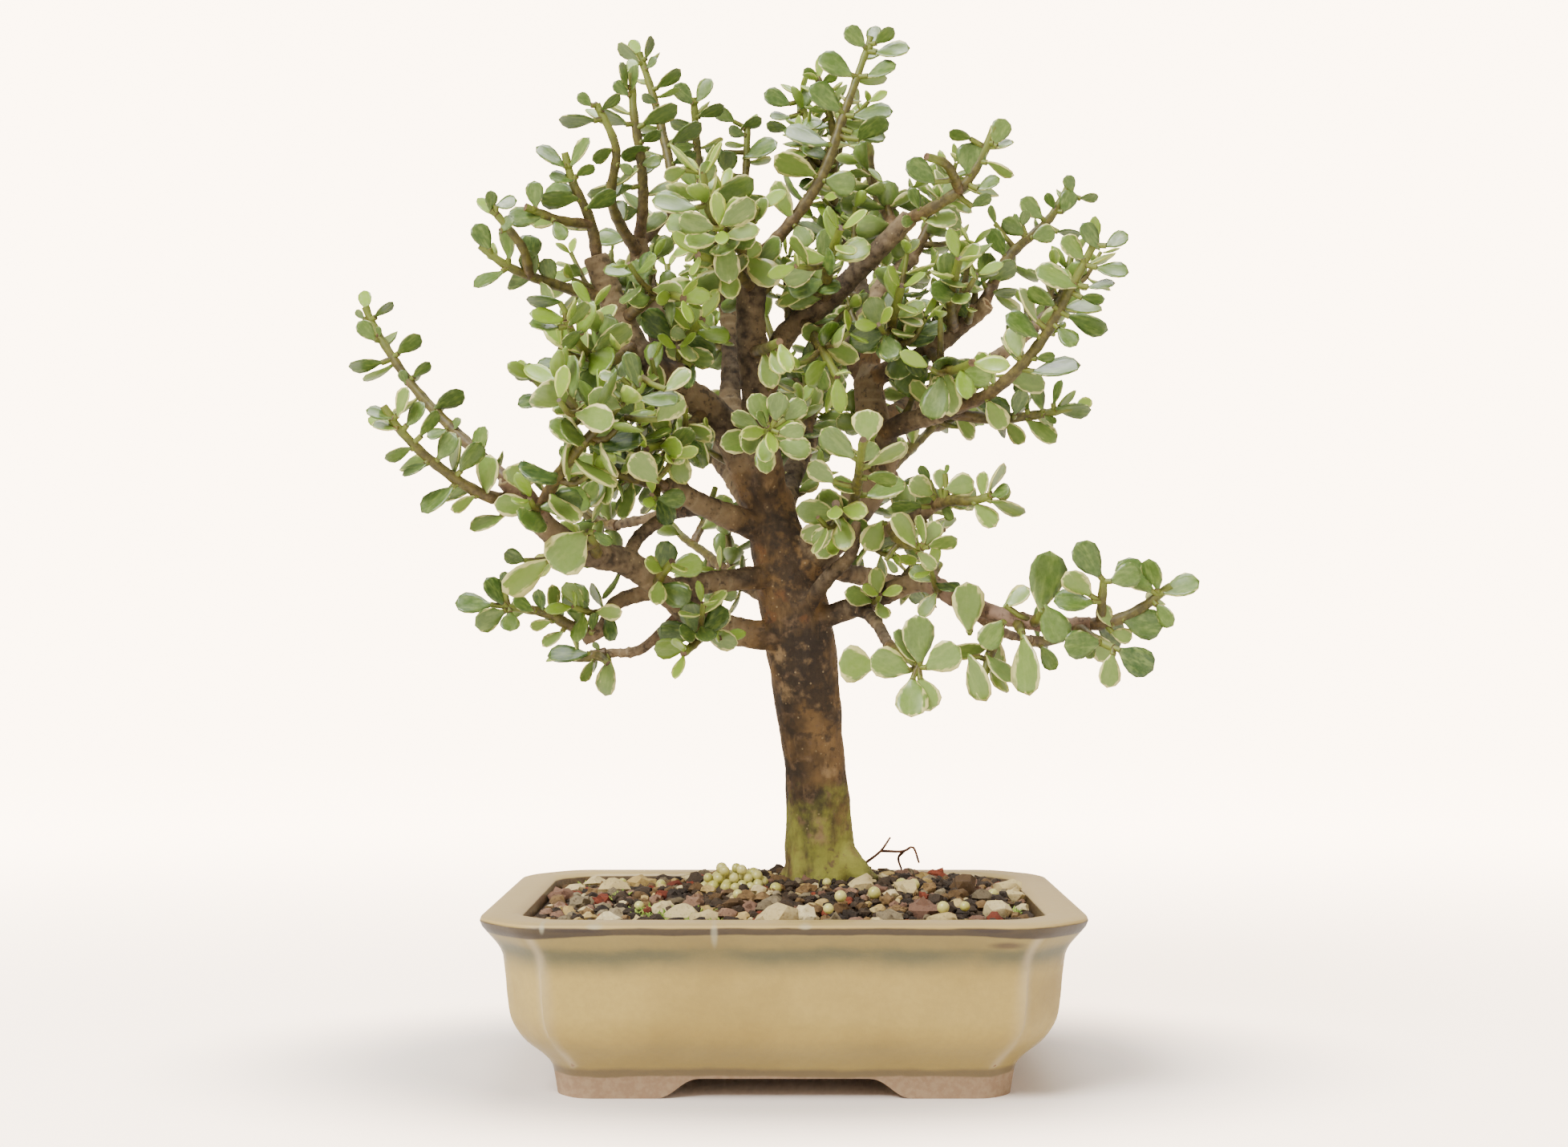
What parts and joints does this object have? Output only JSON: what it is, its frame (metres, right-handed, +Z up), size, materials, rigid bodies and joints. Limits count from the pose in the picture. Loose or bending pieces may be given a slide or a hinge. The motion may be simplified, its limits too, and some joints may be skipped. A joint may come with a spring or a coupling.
{
  "type": "variegated dwarf jade bonsai",
  "caption": "Small variegated dwarf jade bonsai with a bare upright trunk and an open, spreading crown, in a shallow rectangular glazed pot with cut corners and feet.",
  "frame": {"origin": "middle of the whole plant's footprint, on the surface that the pot's feet stand on", "axes": "+Z up along the trunk, +X to the viewer's right along the pot's long side, +Y away from the viewer"},
  "size_m": [0.2289, 0.1827, 0.3104],
  "materials": {
    "glaze": "gloss",
    "gravel": "matte",
    "bark": "matte",
    "leaf": "satin"
  },
  "bodies": {
    "root": {"pot": "glaze", "soil": "gravel", "trunk": "bark", "shoot_apex": "leaf", "shoot_top_left": "leaf", "shoot_top_left_twig": "leaf", "shoot_top_left_back": "leaf", "shoot_left_crown": "leaf", "shoot_left_upper": "leaf", "shoot_left_near": "leaf", "shoot_left_side": "leaf", "shoot_pink": "leaf", "shoot_left_tip_low": "leaf", "shoot_left_tip_high": "leaf", "shoot_left_top_tip": "leaf", "shoot_left_middle_tip": "leaf", "shoot_left_front": "leaf", "shoot_left_drop": "leaf", "shoot_left_hang": "leaf", "shoot_left_inside": "leaf", "shoot_left_dark_tip": "leaf", "shoot_left_inner_side": "leaf", "shoot_left_cut_side": "leaf", "shoot_left_leader_low": "leaf", "shoot_left_back_side": "leaf", "shoot_middle_back": "leaf", "shoot_near_pale": "leaf", "shoot_near_pale_low": "leaf", "shoot_apex_back": "leaf", "shoot_apex_right": "leaf", "shoot_top_right": "leaf", "shoot_right_cut_tip": "leaf", "shoot_right_long": "leaf", "shoot_right_long_low": "leaf", "shoot_right_far_tip": "leaf", "shoot_rosette_high": "leaf", "shoot_rosette_low": "leaf", "shoot_front_shoot": "leaf", "shoot_front_shoot_low": "leaf", "shoot_right_mid_tip": "leaf", "shoot_right_mid_low": "leaf", "shoot_arm_tip": "leaf", "shoot_arm_tip_low": "leaf", "shoot_arm_leaf_high": "leaf", "shoot_arm_leaf_near": "leaf", "shoot_arm_leaf_low": "leaf", "shoot_arm_twig_tip": "leaf", "shoot_arm_twig_hang": "leaf", "shoot_drop_rosette": "leaf", "shoot_behind_tip": "leaf", "shoot_right_back_tip": "leaf", "shoot_right_inner": "leaf", "shoot_right_cut_side": "leaf", "shoot_right_cut_low": "leaf", "shoot_middle_right_low": "leaf", "shoot_middle_right_top": "leaf", "shoot_back_high": "leaf", "shoot_back_left_tip": "leaf", "shoot_back_right_tip": "leaf", "shoot_back_low_tip": "leaf"}
  },
  "joints": []
}
